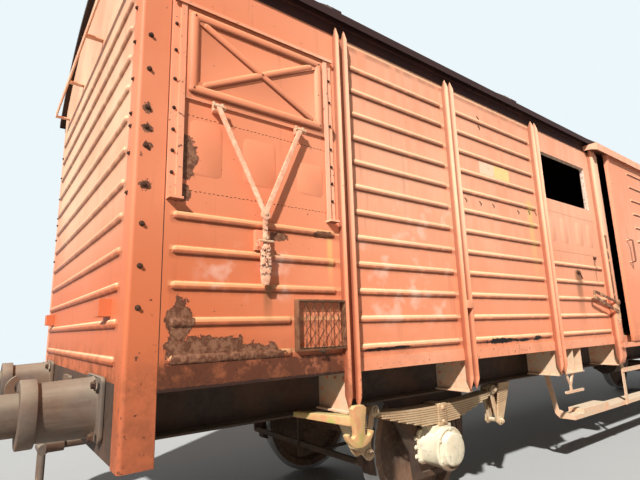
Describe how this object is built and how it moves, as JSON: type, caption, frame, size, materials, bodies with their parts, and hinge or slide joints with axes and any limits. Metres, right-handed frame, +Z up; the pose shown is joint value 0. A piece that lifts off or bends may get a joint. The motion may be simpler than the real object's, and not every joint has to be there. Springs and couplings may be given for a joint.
{
  "type": "covered goods wagon",
  "caption": "Two-axle covered railway goods wagon with ribbed steel walls, an arched roof, sliding side doors, sliding vent shutters, leaf springs and side buffers.",
  "frame": {"origin": "centre of the wagon, at the height of the wheel flanges' lowest point", "axes": "+X along the wagon towards end B, +Y across it towards the far side, +Z up"},
  "size_m": [14.02, 3.014, 4.0998],
  "materials": {
    "wheel_steel": "satin",
    "wall_paint": "matte",
    "roof_metal": "matte",
    "floor_boards": "matte",
    "underframe_steel": "matte",
    "dusty_steel": "matte",
    "grey_castings": "matte"
  },
  "bodies": {
    "wagon": {"axle_boxes": "grey_castings", "axle_guards": "underframe_steel", "brake_beams": "underframe_steel", "brake_pipe": "underframe_steel", "brake_rods": "underframe_steel", "brake_shoes": "underframe_steel", "brake_vessels": "underframe_steel", "buffer_housings": "grey_castings", "buffers": "underframe_steel", "cantrails": "wall_paint", "changeover_levers": "dusty_steel", "consoles": "dusty_steel", "corner_posts": "wall_paint", "door_locks": "wall_paint", "door_rails": "wall_paint", "draw_hooks": "underframe_steel", "end_fittings": "wall_paint", "end_walls": "wall_paint", "floor": "floor_boards", "headstocks": "underframe_steel", "label_boxes": "wall_paint", "roof": "roof_metal", "rope_hooks": "dusty_steel", "screw_couplings": "underframe_steel", "shutter_guides": "wall_paint", "side_posts": "wall_paint", "side_sills": "wall_paint", "sill_strips": "wall_paint", "sole_bars": "underframe_steel", "spring_brackets": "dusty_steel", "spring_buckles": "dusty_steel", "spring_links": "dusty_steel", "springs": "dusty_steel", "steps": "dusty_steel", "underframe_grid": "underframe_steel", "wall_far_a": "wall_paint", "wall_far_b": "wall_paint", "wall_near_a": "wall_paint", "wall_near_b": "wall_paint"},
    "wheelset_a": {"wheels_a": "wheel_steel", "axle_a": "wheel_steel"},
    "wheelset_b": {"wheels_b": "wheel_steel", "axle_b": "wheel_steel"},
    "door_far": {"door_far": "wall_paint"},
    "door_near": {"door_near": "wall_paint"},
    "shutter_far_1": {"shutter_far_1": "wall_paint"},
    "shutter_far_2": {"shutter_far_2": "wall_paint"},
    "shutter_far_3": {"shutter_far_3": "wall_paint"},
    "shutter_far_4": {"shutter_far_4": "wall_paint"},
    "shutter_near_1": {"shutter_near_1": "wall_paint"},
    "shutter_near_3": {"shutter_near_3": "wall_paint"},
    "shutter_near_4": {"shutter_near_4": "wall_paint"}
  },
  "joints": [
    {"name": "wheelset_a_turn", "type": "hinge", "parent": "wagon", "child": "wheelset_a", "pos_m": [-4, 0, 0.52], "axis": [0, 1, 0], "continuous": true},
    {"name": "wheelset_b_turn", "type": "hinge", "parent": "wagon", "child": "wheelset_b", "pos_m": [4, 0, 0.52], "axis": [0, 1, 0], "continuous": true},
    {"name": "door_near_slide", "type": "slide", "parent": "wagon", "child": "door_near", "axis": [1, 0, 0], "range_m": [-0.18, 2.33]},
    {"name": "door_far_slide", "type": "slide", "parent": "wagon", "child": "door_far", "axis": [-1, 0, 0], "range_m": [-0.18, 2.33]},
    {"name": "shutter_far_1_slide", "type": "slide", "parent": "wagon", "child": "shutter_far_1", "axis": [0, 0, -1], "range_m": [0, 0.5]},
    {"name": "shutter_far_2_slide", "type": "slide", "parent": "wagon", "child": "shutter_far_2", "axis": [0, 0, -1], "range_m": [0, 0.5]},
    {"name": "shutter_far_3_slide", "type": "slide", "parent": "wagon", "child": "shutter_far_3", "axis": [0, 0, -1], "range_m": [0, 0.5]},
    {"name": "shutter_far_4_slide", "type": "slide", "parent": "wagon", "child": "shutter_far_4", "axis": [0, 0, -1], "range_m": [0, 0.5]},
    {"name": "shutter_near_1_slide", "type": "slide", "parent": "wagon", "child": "shutter_near_1", "axis": [0, 0, -1], "range_m": [0, 0.5]},
    {"name": "shutter_near_3_slide", "type": "slide", "parent": "wagon", "child": "shutter_near_3", "axis": [0, 0, -1], "range_m": [0, 0.5]},
    {"name": "shutter_near_4_slide", "type": "slide", "parent": "wagon", "child": "shutter_near_4", "axis": [0, 0, -1], "range_m": [0, 0.5]}
  ]
}
